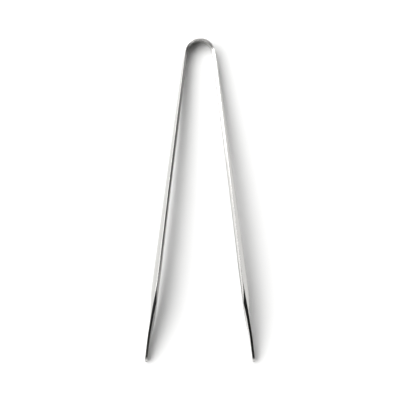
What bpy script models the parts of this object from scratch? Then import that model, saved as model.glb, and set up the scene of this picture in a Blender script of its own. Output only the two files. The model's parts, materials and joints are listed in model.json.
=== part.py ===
"""Stamp tongs bent from one strip of stainless spring steel.

The strip is folded into a narrow bow, and both halves run down from it as legs that lean apart. Each
leg is pressed into a trough, hollow side inwards, which keeps it stiff. The upper edge widens the leg
down to its shoulder, and below the shoulder it is ground away square to the strip, so that the leg draws
in to a narrow point. The lower edge runs on to the end of the point without a step. Towards the point
the trough flattens, and the last of the inside face is a flat pad that holds a stamp.

The tongs lie on their lower edge: X runs across the opening, Y from the points up to the bow, and Z
across the strip. The origin is under the middle of the tongs. Five lengths of the strip are bodies of
their own, so that the legs can swing on the springy shoulders of the bow.
"""

import math

import bmesh
import bpy
from mathutils import Vector

MM = 0.001

# The strip and the bow.
LENGTH = 120.0 * MM              # from the crown of the bow to the points
BOW_RADIUS = 5.45 * MM           # outside of the bow
THICKNESS = 1.0 * MM             # of the strip
LEG_ANGLE = math.radians(7.65)   # each leg leans out from the middle plane
EDGE_ROUND = 0.16 * MM           # the strip's edges are tumbled smooth

# Widths of the strip, which stand along Z.
BOW_WIDTH = 5.3 * MM             # round the bow
SHOULDER_WIDTH = 8.7 * MM        # at the widest part of a leg
POINT_WIDTH = 2.6 * MM           # at the points
ROUND_LENGTH = 1.8 * MM          # the end of a point is rounded over this length
GRIND_LEAN = 1.15                # above 1, the grinding takes more towards the end of a point
SHOULDER_AT = 81.5 * MM          # widest part, measured down the leg from the bow
WIDENING = 0.8                   # below 1, a leg widens a little faster near the bow
WIDENS_OVER = 8.0 * MM          # the widening starts gently over this length

# The trough that is pressed into each leg.
TROUGH_RADIUS = 5.3 * MM         # to the middle of the strip's thickness
TROUGH_STARTS = -4.0 * MM        # along the leg: the trough starts before the bow has ended
TROUGH_RUNS_IN = 9.0 * MM        # length over which it comes to its full depth
TROUGH_RUNS_OUT = 22.0 * MM      # length of leg over which it flattens, above the pad
PAD_LENGTH = 5.0 * MM            # flat inside face at the point

# As the trough flattens, its back draws in towards the line of its edges.
SET_IN = 0.95 * MM
SET_STARTS = 88.0 * MM           # along the leg, where the set-in starts
SET_RUNS = 15.0 * MM             # and the length over which it is made
EDGE_SLANT = 0.88                # 1 would leave the edges square to the pressed strip

# Seen from the side, the legs arch a little, so that the bow and the points touch the table first.
ARCH = 2.4 * MM
ARCH_LEAN = 1.15                  # above 1, the arch is highest beyond the middle of the leg

# Where the strip is divided.
FLEX_AT = 12.0 * MM              # middle of the springy length, down the leg from the bow
GAP = 0.3 * MM

# Faces along and across each length.
ACROSS = 8
BOW_STEPS = 40
SHANK_STEPS = 20
POINT_STEPS = 18
POINT_CROWDING = 1.5             # above 1, the cross lines gather towards the end of the point

HALF_THICK = THICKNESS / 2
MID_RADIUS = BOW_RADIUS - HALF_THICK
BOW_Y = LENGTH / 2 - BOW_RADIUS
BOW_ARC = math.pi / 2 - LEG_ANGLE
BOW_HALF = MID_RADIUS * BOW_ARC
LEG_TOP = Vector((MID_RADIUS * math.sin(BOW_ARC), BOW_Y + MID_RADIUS * math.cos(BOW_ARC), 0.0))
LEG_OUT = Vector((math.cos(LEG_ANGLE), math.sin(LEG_ANGLE), 0.0))
LEG_DOWN = Vector((math.sin(LEG_ANGLE), -math.cos(LEG_ANGLE), 0.0))


def ease(value):
    """Run smoothly from 0 to 1 while the value does."""
    value = min(max(value, 0.0), 1.0)
    return value * value * (3.0 - 2.0 * value)


def sagitta(curvature, height):
    """How far a circle of this curvature falls away at a height above its middle."""
    drop = curvature * height * height
    return drop / (1.0 + math.sqrt(1.0 - (curvature * height) ** 2))


def pressed_width(leg):
    """Width of the pressed strip at a distance down the leg, which is negative round the bow."""
    run = min(max(leg, 0.0) / SHOULDER_AT, 1.0)
    return BOW_WIDTH + (SHOULDER_WIDTH - BOW_WIDTH) * run ** WIDENING * ease(leg / WIDENS_OVER)


BACK_LIFT = sagitta(1.0 / (TROUGH_RADIUS + HALF_THICK), pressed_width(TROUGH_STARTS + TROUGH_RUNS_IN) / 2)
POINT_Y = -LENGTH / 2 + (HALF_THICK + SET_IN - BACK_LIFT) * math.sin(LEG_ANGLE)
LEG_LENGTH = (LEG_TOP.y - POINT_Y) / math.cos(LEG_ANGLE)


def axis_height(leg):
    """Height of the trough's axis above the lower edge."""
    return pressed_width(leg) / 2


def arch(leg):
    """Height of the lower edge above the table."""
    run = min(max(leg, 0.0) / LEG_LENGTH, 1.0)
    return ARCH * math.sin(math.pi * run ** ARCH_LEAN)


def point_span(leg):
    """Heights above the lower edge between which grinding leaves the strip, below the shoulder."""
    past = min((leg - SHOULDER_AT) / (LEG_LENGTH - SHOULDER_AT), 1.0)
    bottom = 0.0
    top = POINT_WIDTH + (SHOULDER_WIDTH - POINT_WIDTH) * math.cos(math.pi / 2 * past ** GRIND_LEAN)
    into_round = (leg - LEG_LENGTH + ROUND_LENGTH) / ROUND_LENGTH
    if into_round > 0.0:
        left = math.sqrt(1.0 - min(into_round, 0.9) ** 2)
        bottom = POINT_WIDTH / 2 * (1.0 - left)
        top = POINT_WIDTH / 2 + (top - POINT_WIDTH / 2) * left
    return bottom, top


def flattening(leg):
    """Run from 0 to 1 while the trough flattens towards the pad."""
    return ease((leg - LEG_LENGTH + PAD_LENGTH + TROUGH_RUNS_OUT) / TROUGH_RUNS_OUT)


def trough_curvature(leg):
    """Curvature of the trough across the middle of the strip's thickness."""
    return ease((leg - TROUGH_STARTS) / TROUGH_RUNS_IN) * (1.0 - flattening(leg)) / TROUGH_RADIUS


def edge_heights(leg, depth):
    """Heights of the strip's lower and upper edge from the trough's axis, at one depth."""
    slant = EDGE_SLANT * trough_curvature(leg)
    pressed = pressed_width(leg) / 2 * (1.0 + slant * depth) / (1.0 + slant * HALF_THICK)
    if leg <= SHOULDER_AT:
        return -pressed, pressed
    bottom, top = point_span(leg)
    axis = axis_height(leg)
    return max(-pressed, bottom - axis), min(pressed, top - axis)


def strip_point(along, across, layer):
    """A point in the strip.

    along is the distance from the crown, positive on the right leg and negative on the left.
    across runs from -1 at the lower edge to 1 at the upper edge.
    layer is 1 on the outside skin, -1 on the inside skin and 0 half way between them.
    """
    leg = abs(along) - BOW_HALF
    if leg <= 0.0:
        angle = abs(along) / MID_RADIUS
        outward = Vector((math.sin(angle), math.cos(angle), 0.0))
        point = Vector((0.0, BOW_Y, 0.0)) + outward * MID_RADIUS
    else:
        outward = LEG_OUT
        point = LEG_TOP + LEG_DOWN * leg
    depth = layer * HALF_THICK
    curvature = trough_curvature(leg)
    lower, upper = edge_heights(leg, depth)
    height = (lower + upper) / 2 + across * (upper - lower) / 2
    lift = BACK_LIFT * ease((leg - TROUGH_STARTS) / TROUGH_RUNS_IN)
    lift -= SET_IN * ease((leg - SET_STARTS) / SET_RUNS)
    point = point + outward * (lift + depth - sagitta(curvature / (1.0 + curvature * depth), height))
    return Vector((math.copysign(1.0, along) * point.x, point.y, arch(leg) + axis_height(leg) + height))


def flex_axis(side):
    """Foot of the vertical axis that a leg swings on, half way through the depth of its trough."""
    back = strip_point(side * (BOW_HALF + FLEX_AT), 0.0, 0.0)
    edge = strip_point(side * (BOW_HALF + FLEX_AT), 1.0, 0.0)
    return Vector(((back.x + edge.x) / 2, (back.y + edge.y) / 2, back.z))


def steel(name, roughness):
    """Bright stainless steel."""
    material = bpy.data.materials.new(name)
    material.use_nodes = True
    surface = material.node_tree.nodes["Principled BSDF"]
    surface.inputs["Base Color"].default_value = (0.74, 0.73, 0.71, 1.0)
    surface.inputs["Metallic"].default_value = 1.0
    surface.inputs["Roughness"].default_value = roughness
    return material


def strip_length(name, start, end, steps, crowding, material, pivot):
    """Press one length of the strip: two skins from start to end, joined all round by their rims."""
    origin = pivot.location if pivot else Vector((0.0, 0.0, 0.0))
    solid = bmesh.new()
    for layer in (-1.0, 1.0):
        skin = bmesh.ops.create_grid(solid, x_segments=steps, y_segments=ACROSS, size=1.0)
        for vert in skin["verts"]:
            run = 1.0 - (0.5 - vert.co.x / 2) ** crowding
            vert.co = strip_point(start + (end - start) * run, vert.co.y, layer) - origin
    rims = [edge for edge in solid.edges if edge.is_boundary]
    bmesh.ops.bridge_loops(solid, edges=rims)
    bmesh.ops.recalc_face_normals(solid, faces=solid.faces)
    mesh = bpy.data.meshes.new(name)
    solid.to_mesh(mesh)
    solid.free()
    mesh.materials.append(material)
    mesh.shade_smooth()

    piece = bpy.data.objects.new(name, mesh)
    bpy.context.scene.collection.objects.link(piece)
    piece.parent = pivot
    edges = piece.modifiers.new("Tumbled edges", "BEVEL")
    edges.width = EDGE_ROUND
    edges.segments = 2
    edges.limit_method = "ANGLE"
    edges.angle_limit = math.radians(50.0)
    return piece


def add_pivot(name, side):
    """An empty on the axis that one leg swings on."""
    pivot = bpy.data.objects.new(name, None)
    pivot.empty_display_size = 5.0 * MM
    pivot.location = flex_axis(side)
    bpy.context.scene.collection.objects.link(pivot)
    return pivot


def add_leg(label, side):
    """The shank that the fingers press, and the point that carries the flat pad."""
    pivot = add_pivot(label + "_flex", side)
    flex = BOW_HALF + FLEX_AT
    shoulder = BOW_HALF + SHOULDER_AT
    end = BOW_HALF + LEG_LENGTH
    strip_length(label + "_shank", side * (flex + GAP / 2), side * (shoulder - GAP / 2), SHANK_STEPS, 1.0,
                 steel(label + "_shank_steel", 0.16), pivot)
    strip_length(label + "_point", side * (shoulder + GAP / 2), side * end, POINT_STEPS, POINT_CROWDING,
                 steel(label + "_point_steel", 0.14), pivot)


def build():
    for item in list(bpy.data.objects):
        bpy.data.objects.remove(item)
    reach = BOW_HALF + FLEX_AT - GAP / 2
    strip_length("spring_bow", -reach, reach, BOW_STEPS, 1.0, steel("spring_bow_steel", 0.2), None)
    add_leg("left", -1.0)
    add_leg("right", 1.0)


build()
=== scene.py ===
# %% [markdown]
# # Stamp tongs, polished steel
#
# Stamp tongs are the plainest of tools: one strip of springy stainless steel, folded into a bow, with
# two legs that end in narrow points. There is no rivet and no seam to look at, so the whole look comes
# from three things: the exact shape of the strip's edges, a polish that is good but not perfect, and
# what stands around the tongs to be mirrored. This lesson makes them in that order.
#
# The frame is a packed working model, in which the strip is divided so that the legs can swing. Here
# the strip is made again, fine and unbroken; its bow rides on the frame's bow, and its legs stay where
# they lie.

# %% The frame
import json
import math

import bmesh
import bpy
from mathutils import Matrix, Vector


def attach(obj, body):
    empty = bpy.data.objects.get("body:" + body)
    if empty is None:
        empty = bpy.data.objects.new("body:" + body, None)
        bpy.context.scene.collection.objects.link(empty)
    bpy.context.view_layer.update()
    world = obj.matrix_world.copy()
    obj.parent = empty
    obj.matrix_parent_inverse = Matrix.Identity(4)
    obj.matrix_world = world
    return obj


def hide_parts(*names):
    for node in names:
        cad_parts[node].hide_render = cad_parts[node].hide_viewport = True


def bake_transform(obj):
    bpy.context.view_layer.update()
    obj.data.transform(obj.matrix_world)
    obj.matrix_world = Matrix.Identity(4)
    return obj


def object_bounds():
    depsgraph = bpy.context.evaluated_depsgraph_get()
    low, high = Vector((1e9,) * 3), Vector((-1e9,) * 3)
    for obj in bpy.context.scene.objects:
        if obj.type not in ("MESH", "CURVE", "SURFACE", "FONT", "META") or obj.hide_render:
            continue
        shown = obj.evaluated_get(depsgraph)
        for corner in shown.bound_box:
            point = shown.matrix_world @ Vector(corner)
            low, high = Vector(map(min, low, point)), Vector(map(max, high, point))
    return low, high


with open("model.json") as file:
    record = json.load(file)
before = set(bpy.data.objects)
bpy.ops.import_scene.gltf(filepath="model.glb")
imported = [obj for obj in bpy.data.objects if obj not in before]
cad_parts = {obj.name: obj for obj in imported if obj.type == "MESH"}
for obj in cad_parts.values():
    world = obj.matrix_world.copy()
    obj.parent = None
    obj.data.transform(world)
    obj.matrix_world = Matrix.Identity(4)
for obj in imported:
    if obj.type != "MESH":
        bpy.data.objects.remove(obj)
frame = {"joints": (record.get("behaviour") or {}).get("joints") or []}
cad_bounds = [[float(value) for value in corner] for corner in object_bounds()]
cad_low, cad_high = (Vector(corner) for corner in cad_bounds)

# %% [markdown]
# ## The strip's dimensions
#
# A maker of tongs works from the width and thickness of the strip, the size of the bow, and the tool
# that presses each leg into a trough. The length comes from the frame, so that the fine strip fills the
# same box as the working model. The rest are the maker's own numbers, and they are the same in both.

# %% Driving dimensions
MM = 0.001
LENGTH = round((cad_high.y - cad_low.y) / MM) * MM
BOW_RADIUS = 5.45 * MM           # outside of the bow
THICKNESS = 1.0 * MM             # of the strip
LEG_ANGLE = math.radians(7.65)   # each leg leans out from the middle plane
BOW_WIDTH = 5.3 * MM             # width of the strip round the bow
SHOULDER_WIDTH = 8.7 * MM        # at the widest part of a leg
POINT_WIDTH = 2.6 * MM           # at the points
ROUND_LENGTH = 1.8 * MM          # the end of a point is rounded over this length
ROUND_STOPS = 0.9                # at this share of it, which leaves a short flat at the very end
GRIND_LEAN = 1.15                # above 1, the grinding takes more towards the end of a point
SHOULDER_AT = 81.5 * MM          # widest part, measured down the leg from the bow
WIDENING = 0.8                   # below 1, a leg widens a little faster near the bow
WIDENS_OVER = 8.0 * MM           # the widening starts gently over this length
TROUGH_RADIUS = 5.3 * MM         # of the press tool, to the middle of the thickness
TROUGH_STARTS = -4.0 * MM        # along the leg: the trough starts before the bow has ended
TROUGH_RUNS_IN = 9.0 * MM        # length over which it comes to its full depth
TROUGH_RUNS_OUT = 22.0 * MM      # and flattens again, above the pad
PAD_LENGTH = 5.0 * MM            # flat inside face at the point
SET_IN = 0.95 * MM               # how far the trough's back draws in while it flattens
SET_STARTS = 88.0 * MM           # along the leg, where the set-in starts
SET_RUNS = 15.0 * MM             # and the length over which it is made
EDGE_SLANT = 0.88                # 1 would leave the edges square to the pressed strip
ARCH = 2.4 * MM                  # seen from the side, the legs arch off the table by this much
ARCH_LEAN = 1.15                 # above 1, the arch is highest beyond the middle of the leg

HALF_THICK = THICKNESS / 2
MID_RADIUS = BOW_RADIUS - HALF_THICK
BOW_Y = LENGTH / 2 - BOW_RADIUS
BOW_ARC = math.pi / 2 - LEG_ANGLE
BOW_HALF = MID_RADIUS * BOW_ARC
LEG_TOP = Vector((MID_RADIUS * math.sin(BOW_ARC), BOW_Y + MID_RADIUS * math.cos(BOW_ARC), 0.0))
LEG_OUT = Vector((math.cos(LEG_ANGLE), math.sin(LEG_ANGLE), 0.0))
LEG_DOWN = Vector((math.sin(LEG_ANGLE), -math.cos(LEG_ANGLE), 0.0))
print(f"length {LENGTH / MM:.1f} mm, half of the bow {BOW_HALF / MM:.2f} mm along the strip")

# %% [markdown]
# ## Where the strip's metal goes
#
# The shape is worked out on the unbent strip. A place in the strip has three flat coordinates: how far
# along it lies from the crown of the bow, how deep it lies in the thickness, and how high it stands
# across the width. Pressing and bending only move that place, so a few short functions hold the whole
# form. Modelling the bent strip by hand would need hundreds of points, and none could be changed later.

# %% The form of the strip
def ease(value):
    """Run smoothly from 0 to 1 while the value does."""
    value = min(max(value, 0.0), 1.0)
    return value * value * (3.0 - 2.0 * value)


def sagitta(curvature, height):
    """How far a circle of this curvature falls away at a height above its middle."""
    drop = curvature * height * height
    return drop / (1.0 + math.sqrt(1.0 - (curvature * height) ** 2))


def pressed_width(leg):
    """Width of the pressed strip at a distance down the leg, which is negative round the bow."""
    run = min(max(leg, 0.0) / SHOULDER_AT, 1.0)
    return BOW_WIDTH + (SHOULDER_WIDTH - BOW_WIDTH) * run ** WIDENING * ease(leg / WIDENS_OVER)


BACK_LIFT = sagitta(1.0 / (TROUGH_RADIUS + HALF_THICK), pressed_width(TROUGH_STARTS + TROUGH_RUNS_IN) / 2)
POINT_Y = -LENGTH / 2 + (HALF_THICK + SET_IN - BACK_LIFT) * math.sin(LEG_ANGLE)
LEG_LENGTH = (LEG_TOP.y - POINT_Y) / math.cos(LEG_ANGLE)
print(f"each leg is {LEG_LENGTH / MM:.1f} mm long below the bow")

# %% [markdown]
# ## Pressed edges and ground edges
#
# The tongs lie on the lower edge of the strip. It arches by about two millimetres, so that only the bow
# and the points touch the table. The upper edge widens the leg down to the shoulder. Both edges are left
# as they were cut, and the press tilts them inwards.
#
# Below the shoulder the upper edge is ground down to the point, square to the strip. The grinding first
# takes only the outer corner, and it has cut through the whole thickness some way further down. That is
# why a long thin wedge of flat, ground metal appears beside the pressed edge. The trough flattens over
# the same length, and its back draws in towards the line of the lower edge.

# %% Pressing and grinding
GRIND_FADES_IN = 2.0 * MM        # the ground marks start gently over this length


def axis_height(leg):
    """Height of the trough's axis above the lower edge."""
    return pressed_width(leg) / 2


def arch(leg):
    """Height of the lower edge above the table."""
    run = min(max(leg, 0.0) / LEG_LENGTH, 1.0)
    return ARCH * math.sin(math.pi * run ** ARCH_LEAN)


def point_span(leg):
    """Heights above the lower edge between which grinding leaves the strip, below the shoulder."""
    past = min((leg - SHOULDER_AT) / (LEG_LENGTH - SHOULDER_AT), 1.0)
    bottom = 0.0
    top = POINT_WIDTH + (SHOULDER_WIDTH - POINT_WIDTH) * math.cos(math.pi / 2 * past ** GRIND_LEAN)
    into_round = (leg - LEG_LENGTH + ROUND_LENGTH) / ROUND_LENGTH
    if into_round > 0.0:
        left = math.sqrt(1.0 - min(into_round, ROUND_STOPS) ** 2)
        bottom = POINT_WIDTH / 2 * (1.0 - left)
        top = POINT_WIDTH / 2 + (top - POINT_WIDTH / 2) * left
    return bottom, top


def flattening(leg):
    """Run from 0 to 1 while the trough flattens towards the pad."""
    return ease((leg - LEG_LENGTH + PAD_LENGTH + TROUGH_RUNS_OUT) / TROUGH_RUNS_OUT)


def trough_curvature(leg):
    """Curvature of the trough across the middle of the strip's thickness."""
    return ease((leg - TROUGH_STARTS) / TROUGH_RUNS_IN) * (1.0 - flattening(leg)) / TROUGH_RADIUS


def edge_heights(leg, depth):
    """Heights of the lower and upper edge from the trough's axis, at one depth in the thickness."""
    slant = EDGE_SLANT * trough_curvature(leg)
    pressed = pressed_width(leg) / 2 * (1.0 + slant * depth) / (1.0 + slant * HALF_THICK)
    if leg <= SHOULDER_AT:
        return -pressed, pressed
    bottom, top = point_span(leg)
    axis = axis_height(leg)
    return max(-pressed, bottom - axis), min(pressed, top - axis)


def ground_share(leg):
    """How much of the upper edge is ground rather than pressed: 0 above the shoulder."""
    return min(max((leg - SHOULDER_AT) / GRIND_FADES_IN, 0.0), 1.0)


def place(along, depth, height):
    """Where a place in the flat strip comes to lie in the finished tongs."""
    leg = abs(along) - BOW_HALF
    if leg <= 0.0:
        angle = abs(along) / MID_RADIUS
        outward = Vector((math.sin(angle), math.cos(angle), 0.0))
        point = Vector((0.0, BOW_Y, 0.0)) + outward * MID_RADIUS
    else:
        outward = LEG_OUT
        point = LEG_TOP + LEG_DOWN * leg
    curvature = trough_curvature(leg)
    lift = BACK_LIFT * ease((leg - TROUGH_STARTS) / TROUGH_RUNS_IN)
    lift -= SET_IN * ease((leg - SET_STARTS) / SET_RUNS)
    point = point + outward * (lift + depth - sagitta(curvature / (1.0 + curvature * depth), height))
    return Vector((math.copysign(1.0, along) * point.x, point.y, arch(leg) + axis_height(leg) + height))


for leg_mm in (0, 40, 81, 95, 105, 115):
    rise = arch(leg_mm * MM) + axis_height(leg_mm * MM)
    low, high = (rise + edge for edge in edge_heights(leg_mm * MM, HALF_THICK))
    print(f"{leg_mm} mm down the leg the strip stands from {low / MM:.2f} to {high / MM:.2f} mm")

# %% [markdown]
# ## A flat bar with tumbled edges
#
# Cut strip has sharp, burred edges, and tongs are tumbled with ceramic chips until every edge is round.
# The roundness is less than a tenth of a millimetre, but it catches a line of light all round the tool,
# so it is real geometry here. The bar starts as a cube, gets its size, and has its long edges bevelled
# while it is still straight, when the bevel is easy. Then subdividing gives it the cross lines to bend
# along.

# %% The bar
EDGE_ROUND = 0.08 * MM
ROUND_SEGMENTS = 4
DEPTH_CUTS = 9
HEIGHT_CUTS = 25


def runs_along(edge, axis):
    """Whether an edge of the straight bar runs along an axis, and isn't part of a rounded corner."""
    span = edge.verts[1].co - edge.verts[0].co
    return abs(span[axis]) > 0.99 * span.length and span.length > EDGE_ROUND


def straight_bar(start, end, steps, rounded_end):
    """The flat strip from start to end: X along it, Y through its thickness, Z across its width."""
    bar = bmesh.new()
    size = Matrix.Diagonal((end - start, THICKNESS, SHOULDER_WIDTH, 1.0))
    middle = Matrix.Translation(((start + end) / 2, 0.0, 0.0))
    bmesh.ops.create_cube(bar, size=1.0, matrix=middle @ size)
    to_round = [edge for edge in bar.edges if runs_along(edge, 0)]
    if rounded_end:
        to_round += [edge for edge in bar.edges if all(abs(v.co.x - end) < EDGE_ROUND for v in edge.verts)]
    bmesh.ops.bevel(bar, geom=to_round, offset=EDGE_ROUND, offset_type="OFFSET", affect="EDGES",
                    segments=ROUND_SEGMENTS, profile=0.5, material=-1)
    for axis, cuts in ((2, HEIGHT_CUTS), (1, DEPTH_CUTS), (0, steps)):
        runs = [edge for edge in bar.edges if runs_along(edge, axis)]
        bmesh.ops.subdivide_edges(bar, edges=runs, cuts=cuts, use_grid_fill=True)
    return bar


trial = straight_bar(0.0, 10.0 * MM, 8, True)
print(f"a short trial bar has {len(trial.faces)} faces")
trial.free()

# %% [markdown]
# ## Pressing and bending the bar
#
# Each corner of the bar's mesh is now carried to its place in the finished tongs. The rounded corners
# keep their size while the width changes, because heights near an edge are measured from that edge.
#
# The flat coordinates are kept on the mesh as an attribute, in metres. Polishing marks follow the metal
# round the bow and down the legs, and a pattern that reads this attribute does the same. A second
# attribute says how the metal there was finished: ground at the edge, pressed on the inside, or a pad.

# %% The press
PAD_FADES_IN = 1.5 * MM          # the trough's finish turns into the pad's over this length
SHARP_ABOVE = math.radians(35.0)


def finish_marks(leg, depth, ground, at_edge):
    """How much a place is ground edge, inside of the trough, and pad."""
    inside = ease(0.5 - depth / THICKNESS) * (1.0 - at_edge)
    pad = inside * ease((leg - LEG_LENGTH + PAD_LENGTH + PAD_FADES_IN) / PAD_FADES_IN)
    return Vector((ground * at_edge, inside, pad))


def press(bar, name, side):
    """Carry the straight bar's corners to their places, and keep the flat coordinates on the mesh."""
    flat = bar.verts.layers.float_vector.new("flat_strip")
    marks = bar.verts.layers.float_vector.new("finish_marks")
    for vert in bar.verts:
        along, depth, height = vert.co
        leg = abs(along) - BOW_HALF
        lower, upper = edge_heights(leg, depth)
        from_edge = SHOULDER_WIDTH / 2 - abs(height)
        if from_edge >= EDGE_ROUND:
            share = (height + SHOULDER_WIDTH / 2 - EDGE_ROUND) / (SHOULDER_WIDTH - 2.0 * EDGE_ROUND)
            placed = lower + EDGE_ROUND + share * (upper - lower - 2.0 * EDGE_ROUND)
        elif height > 0.0:
            placed = upper - from_edge
        else:
            placed = lower + from_edge
        at_edge = ease((EDGE_ROUND - from_edge) / EDGE_ROUND)
        ground = ground_share(leg) if height > 0.0 else 0.0
        vert[flat] = Vector((along, depth, placed))
        vert[marks] = finish_marks(leg, depth, ground, at_edge)
        vert.co = place(side * along, depth, placed)
    bmesh.ops.recalc_face_normals(bar, faces=bar.faces)
    mesh = bpy.data.meshes.new(name)
    bar.to_mesh(mesh)
    bar.free()
    mesh.shade_smooth()
    mesh.set_sharp_from_angle(angle=SHARP_ABOVE)
    piece = bpy.data.objects.new(name, mesh)
    bpy.context.scene.collection.objects.link(piece)
    print(f"{name}: {len(mesh.polygons)} faces")
    return piece


# %% [markdown]
# ## Three pieces of one strip
#
# The strip has to stay whole while the legs swing, and a piece can bend between two bodies only. So the
# bow is one piece that stands still, and each leg is another. The pieces meet where the strip is
# straight, so that no line shows between them. More cross lines near the end of a point keep it round.

# %% The bow and the legs
SEAM_AT = 6.0 * MM               # down the leg, where a leg's piece meets the bow's
BOW_BEND_STEPS = 150
LEG_STEPS = 300
END_LINES = (0.1, 0.2, 0.32, 0.46, 0.62, 0.8, 1.1)   # cross lines near the end of a point, in mm


def hinge_along(joint_name):
    """How far down the leg a joint's axis lies."""
    joint = next(joint for joint in frame["joints"] if joint["name"] == joint_name)
    axis = Vector(joint["pos_m"])
    return (Vector((abs(axis.x), axis.y, 0.0)) - LEG_TOP).dot(LEG_DOWN)


def add_bow():
    """The bow, with the short straight lengths that it shares with the legs."""
    reach = BOW_HALF + SEAM_AT
    return press(straight_bar(-reach, reach, BOW_BEND_STEPS, False), "bow_strip", 1.0)


def add_leg(label, side):
    """One leg from the seam to the rounded end of its point."""
    start = BOW_HALF + SEAM_AT
    end = BOW_HALF + LEG_LENGTH
    bar = straight_bar(start, end, LEG_STEPS, True)
    for line in END_LINES:
        bmesh.ops.bisect_plane(bar, geom=bar.verts[:] + bar.edges[:] + bar.faces[:], dist=1e-6,
                               plane_co=(end - line * MM, 0.0, 0.0), plane_no=(1.0, 0.0, 0.0))
    return press(bar, label + "_leg_strip", side)


bow_strip = add_bow()
leg_strips = {"left": add_leg("left", -1.0), "right": add_leg("right", 1.0)}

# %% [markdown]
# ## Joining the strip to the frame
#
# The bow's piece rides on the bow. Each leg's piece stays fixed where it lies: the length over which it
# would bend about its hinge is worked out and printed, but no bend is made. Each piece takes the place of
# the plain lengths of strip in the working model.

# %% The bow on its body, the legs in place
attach(bow_strip, "bow")
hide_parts("spring_bow")
for label, side in (("left", -1.0), ("right", 1.0)):
    strip = leg_strips[label]
    bend_half = hinge_along(label + "_flex") - SEAM_AT
    bend_start = place(side * (BOW_HALF + SEAM_AT), 0.0, 0.0)
    bend_end = place(side * (BOW_HALF + SEAM_AT + 2.0 * bend_half), 0.0, 0.0)
    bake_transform(strip)
    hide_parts(label + "_shank", label + "_point")
    print(f"{label} leg bends over {2.0 * bend_half / MM:.1f} mm about its hinge")

# %% [markdown]
# ## Shader maths as plain Python
#
# A finish is a sum of small effects, and wiring each sum by hand hides what it says. One small class
# wraps a socket, so that an expression such as `base + 0.05 * lines` adds its own Math nodes.

# %% Sockets that can be added and multiplied
class Value:
    """An output of a shader node that takes part in Python expressions."""

    def __init__(self, finish, socket):
        self.finish = finish
        self.socket = socket

    def maths(self, operation, first, second):
        """One Math node, which takes sockets and plain numbers alike."""
        return self.finish.node("ShaderNodeMath", {"operation": operation}, {0: first, 1: second})

    def __add__(self, other):
        return self.maths("ADD", self, other)

    def __sub__(self, other):
        return self.maths("SUBTRACT", self, other)

    def __rsub__(self, other):
        return self.maths("SUBTRACT", other, self)

    def __mul__(self, other):
        return self.maths("MULTIPLY", self, other)

    __radd__ = __add__
    __rmul__ = __mul__


class Finish:
    """The shader of a material or of the room, under construction."""

    def __init__(self, owner, surface):
        owner.use_nodes = True
        self.owner = owner
        self.tree = owner.node_tree
        self.surface = self.tree.nodes[surface]

    def fill(self, node, inputs):
        """Link or set the sockets of a node."""
        for key, value in inputs.items():
            if isinstance(value, Value):
                self.tree.links.new(value.socket, node.inputs[key])
            else:
                node.inputs[key].default_value = value

    def shade_ramp(self, stops, levels):
        """Give a ramp its grey levels: first and last in place, the others between them."""
        for place_on_ramp, _ in levels[1:-1]:
            stops.new(place_on_ramp)
        for stop, (place_on_ramp, level) in zip(stops, levels):
            stop.position = place_on_ramp
            stop.color = (level, level, level, 1.0)

    def node(self, kind, settings, inputs, output=0):
        """Add a node: its settings first, then the values or links of its sockets."""
        node = self.tree.nodes.new(kind)
        for key, value in settings.items():
            if key == "stops":
                self.shade_ramp(node.color_ramp.elements, value)
            else:
                setattr(node, key, value)
        self.fill(node, inputs)
        return Value(self, node.outputs[output])


# %% [markdown]
# ## Polished strip
#
# The steel was belt-polished along its length and then tumbled. Three layers of marks are left: very
# fine lines along the strip, longer and coarser ones, and slanting hair scratches from use. On top lie
# faint cloudy patches, where it has been handled. All of them change the roughness more than the colour,
# because clean steel shows wear by how sharply it mirrors. The ground edges have lines across the strip.
#
# The patterns read the flat coordinates of the strip. Stretching those coordinates a hundredfold in one
# direction turns an even noise into polishing lines.

# %% The polished strip's material
LINES_PER_M = 9000.0             # the finest polishing lines are about a ninth of a millimetre apart
STREAK_PER_M = 70.0              # and run for about 15 mm
COARSE_PER_M = 1900.0            # coarse lines are half a millimetre apart, and run three times as far
GRINDING_PER_M = 300.0           # grinding lines run across the strip, for about 3 mm
CLOUDS_PER_M = (140.0, 260.0, 260.0)   # handled patches are 4 to 7 mm across
HAIR_VALUE = 0.62                # a hair lies wherever its noise has this value
HAIR_FADE = 0.006                # and fades out over so small a change that it stays thin
HAIR_TURNS_AND_SCALES = (((0.0, 0.5, 0.3), (160.0, 1500.0, 1500.0)),
                         ((0.0, -0.9, 0.2), (220.0, 1100.0, 1100.0)))
PLAIN_STEEL = (0.545, 0.54, 0.528, 1.0)
BRIGHT_STEEL = (0.60, 0.595, 0.583, 1.0)
DULL_STEEL = (0.51, 0.505, 0.493, 1.0)


def stretched_noise(steel, coordinates, scale, detail):
    """Even noise, stretched by scaling the coordinates first."""
    scaled = steel.node("ShaderNodeVectorMath", {"operation": "MULTIPLY"}, {0: coordinates, 1: scale})
    return steel.node("ShaderNodeTexNoise", {}, {"Vector": scaled, "Scale": 1.0, "Detail": detail})


def hair_scratches(steel, coordinates, turn, scale):
    """Thin lines in one slanting direction, where a stretched noise crosses one value."""
    turned = steel.node("ShaderNodeMapping", {}, {"Vector": coordinates, "Rotation": turn})
    noise = stretched_noise(steel, turned, scale, 1.0)
    away = steel.node("ShaderNodeMath", {"operation": "ABSOLUTE"}, {0: noise - HAIR_VALUE})
    return steel.node("ShaderNodeValToRGB", {"stops": ((0.0, 1.0), (HAIR_FADE, 0.0))}, {"Fac": away})


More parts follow.
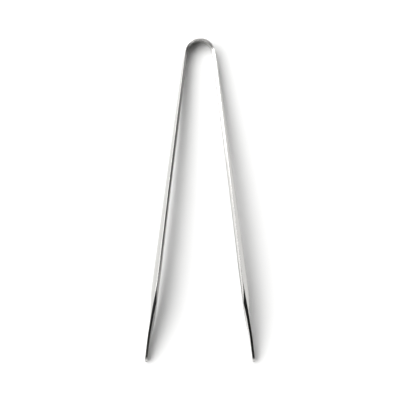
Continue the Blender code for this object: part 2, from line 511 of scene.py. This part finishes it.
def polished_strip():
    """Stainless strip, belt-polished along its length and tumbled."""
    steel = Finish(bpy.data.materials.new("polished_strip_steel"), "Principled BSDF")
    flat = steel.node("ShaderNodeAttribute", {"attribute_name": "flat_strip"}, {}, "Vector")
    marks = steel.node("ShaderNodeAttribute", {"attribute_name": "finish_marks"}, {}, "Vector")
    ground, inside, pad = (steel.node("ShaderNodeSeparateXYZ", {}, {0: marks}, axis) for axis in "XYZ")

    fine = stretched_noise(steel, flat, (STREAK_PER_M, LINES_PER_M, LINES_PER_M), 2.0)
    coarse = stretched_noise(steel, flat, (STREAK_PER_M / 3, COARSE_PER_M, COARSE_PER_M), 3.0)
    across = stretched_noise(steel, flat, (LINES_PER_M / 2, GRINDING_PER_M, GRINDING_PER_M), 2.0)
    clouds = stretched_noise(steel, flat, CLOUDS_PER_M, 4.0)
    hairs = sum(hair_scratches(steel, flat, turn, scale) for turn, scale in HAIR_TURNS_AND_SCALES)

    lines = fine * (1.0 - ground) + across * ground
    rough = 0.06 + 0.07 * lines + 0.05 * coarse + 0.07 * clouds
    rough = rough + 0.05 * hairs + 0.10 * inside + 0.10 * pad + 0.05 * ground
    tone = steel.node("ShaderNodeMix", {"data_type": "RGBA"},
                      {0: 0.6 * clouds + 0.4 * coarse, 6: PLAIN_STEEL, 7: BRIGHT_STEEL}, 2)
    dull = steel.node("ShaderNodeMix", {"data_type": "RGBA"},
                      {0: 0.35 * inside, 6: tone, 7: DULL_STEEL}, 2)
    relief = lines * 0.6 + coarse * 0.5 - 0.5 * hairs
    bump = steel.node("ShaderNodeBump", {}, {"Strength": 0.10, "Distance": 0.02 * MM, "Height": relief})
    steel.fill(steel.surface, {"Base Color": dull, "Metallic": 1.0, "Roughness": rough, "Normal": bump})
    return steel.owner


strip_steel = polished_strip()
for piece in (bow_strip, *leg_strips.values()):
    piece.data.materials.append(strip_steel)
print("polished strip material:", len(strip_steel.node_tree.nodes), "nodes")

# %% [markdown]
# ## The table
#
# The tongs stand on the bow and the points, on a plain white sheet, and a little light passes under the
# arch of each leg. The sheet is a hair's breadth lower, because real paper and a real edge touch in a few
# places only.

# %% The white sheet
SHEET_SIZE = 4.0
SHEET_DROP = 0.02 * MM


def white_sheet():
    """Matt white paper, large enough to fill the view from any side."""
    paper = bmesh.new()
    bmesh.ops.create_grid(paper, x_segments=1, y_segments=1, size=SHEET_SIZE / 2,
                          matrix=Matrix.Translation((0.0, 0.0, -SHEET_DROP)))
    mesh = bpy.data.meshes.new("white_sheet")
    paper.to_mesh(mesh)
    paper.free()
    sheet = bpy.data.objects.new("white_sheet", mesh)
    bpy.context.scene.collection.objects.link(sheet)
    finish = Finish(bpy.data.materials.new("matt_paper"), "Principled BSDF")
    paper_look = {"Base Color": (0.88, 0.88, 0.875, 1.0), "Roughness": 0.9, "Specular IOR Level": 0.1}
    finish.fill(finish.surface, paper_look)
    mesh.materials.append(finish.owner)
    return sheet


white_sheet()
print(f"a white sheet of {SHEET_SIZE:.0f} m lies {SHEET_DROP / MM:.2f} mm below the strip")

# %% [markdown]
# ## Light
#
# Polished steel shows little of its own: it shows what stands round it. One large soft light stands high
# at the upper left and throws the soft shadows to the right. It is more than a metre wide, so the
# shadows are sharp only where the steel touches the sheet.

# %% The soft light
def soft_light(name, azimuth, elevation, distance, width, depth, power):
    """A rectangular soft light that faces the tongs. Azimuth runs clockwise from +Y."""
    azimuth = math.radians(azimuth)
    elevation = math.radians(elevation)
    towards = Vector((math.sin(azimuth) * math.cos(elevation), math.cos(azimuth) * math.cos(elevation),
                      math.sin(elevation)))
    lamp = bpy.data.lights.new(name, "AREA")
    lamp.shape = "RECTANGLE"
    lamp.size = width
    lamp.size_y = depth
    lamp.energy = power
    holder = bpy.data.objects.new(name, lamp)
    holder.location = towards * distance
    holder.rotation_euler = towards.to_track_quat("Z", "Y").to_euler()
    bpy.context.scene.collection.objects.link(holder)


KEY_AZIMUTH = -51.0
KEY_ELEVATION = 55.0
KEY_DISTANCE = 1.2
KEY_WIDTH = 1.6
KEY_DEPTH = 0.95
KEY_POWER = 20.8
soft_light("upper_left_softbox", KEY_AZIMUTH, KEY_ELEVATION, KEY_DISTANCE, KEY_WIDTH, KEY_DEPTH, KEY_POWER)
print(f"one soft light of {KEY_POWER:.0f} W at {KEY_ELEVATION:.0f} degrees above the table")

# %% [markdown]
# ## The room
#
# The steel mirrors the whole room, so the room is made by saying where it is bright. The left wall is
# white. The right wall is dark, except for a pale foot just above the table. So the pressed edge of the
# right leg mirrors white, and that of the left leg draws a thin dark line. The ceiling has a dark patch
# on the side of the points. The ground edges slope down towards the points, so they mirror that patch
# and stand out as crisp dark wedges.
#
# Each ramp is a list of stops, with a place from 0 to 1 and the brightness there.

# %% The room
ROOM_LEFT_TO_RIGHT = ((0.0, 1.5), (0.2, 0.9), (0.5, 0.6), (0.88, 0.5), (0.95, 0.18), (1.0, 0.14))
DARK_SIDE = (0.15, -0.50, 0.85)  # the direction of the dark patch
DARK_EDGE = ((0.0, 0.0), (0.48, 0.02), (0.85, 1.0))   # by distance from its middle
PALE_FOOT = ((0.0, 1.6), (0.1, 1.4), (0.18, 0.0))     # by height on the right wall

room = Finish(bpy.data.worlds.new("studio_room"), "Background")
direction = room.node("ShaderNodeTexCoord", {}, {}, "Generated")
sideways = room.node("ShaderNodeSeparateXYZ", {}, {0: direction}, "X")
walls = room.node("ShaderNodeValToRGB", {"stops": ROOM_LEFT_TO_RIGHT}, {"Fac": sideways * 0.5 + 0.5})
from_dark = room.node("ShaderNodeVectorMath", {"operation": "DISTANCE"},
                      {0: direction, 1: DARK_SIDE}, "Value")
opening = room.node("ShaderNodeValToRGB", {"stops": DARK_EDGE}, {"Fac": from_dark})
upwards = room.node("ShaderNodeSeparateXYZ", {}, {0: direction}, "Z")
low_right = room.node("ShaderNodeValToRGB", {"stops": PALE_FOOT}, {"Fac": upwards + 0.5 - 0.5 * sideways})
room.fill(room.surface, {"Color": walls * opening + low_right})
bpy.context.scene.world = room.owner
print("room shades from left to right:", [level for _, level in ROOM_LEFT_TO_RIGHT])

# %% [markdown]
# ## Camera
#
# The view is straight down on the sheet from about 0.3 m, with the bow at the top, and the frame is a
# little wider than the tongs are long. From this near, the camera sees a little of the inside of each
# leg past its upper edge.

# %% The camera
VIEW_WIDTH = 147.8 * MM          # seen across the frame, at the middle height of the tongs
CAMERA_DISTANCE = 0.30
CAMERA_UP = 0.27 * MM            # towards the bow
SENSOR = 36.0

lens = bpy.data.cameras.new("camera")
lens.sensor_width = SENSOR
lens.lens = SENSOR * CAMERA_DISTANCE / VIEW_WIDTH
lens.clip_start = 0.01
camera = bpy.data.objects.new("camera", lens)
camera.location = (0.0, CAMERA_UP, SHOULDER_WIDTH / 2 + CAMERA_DISTANCE)
bpy.context.scene.collection.objects.link(camera)
bpy.context.scene.camera = camera
bpy.context.scene.view_settings.view_transform = "Standard"
print(f"lens {lens.lens:.0f} mm")

# %% [markdown]
# ## Sizes
# #
# The fine strip has to fill the same box as the working model, so the working model's box is printed.

# %% Bounds
print("working model:", cad_bounds)
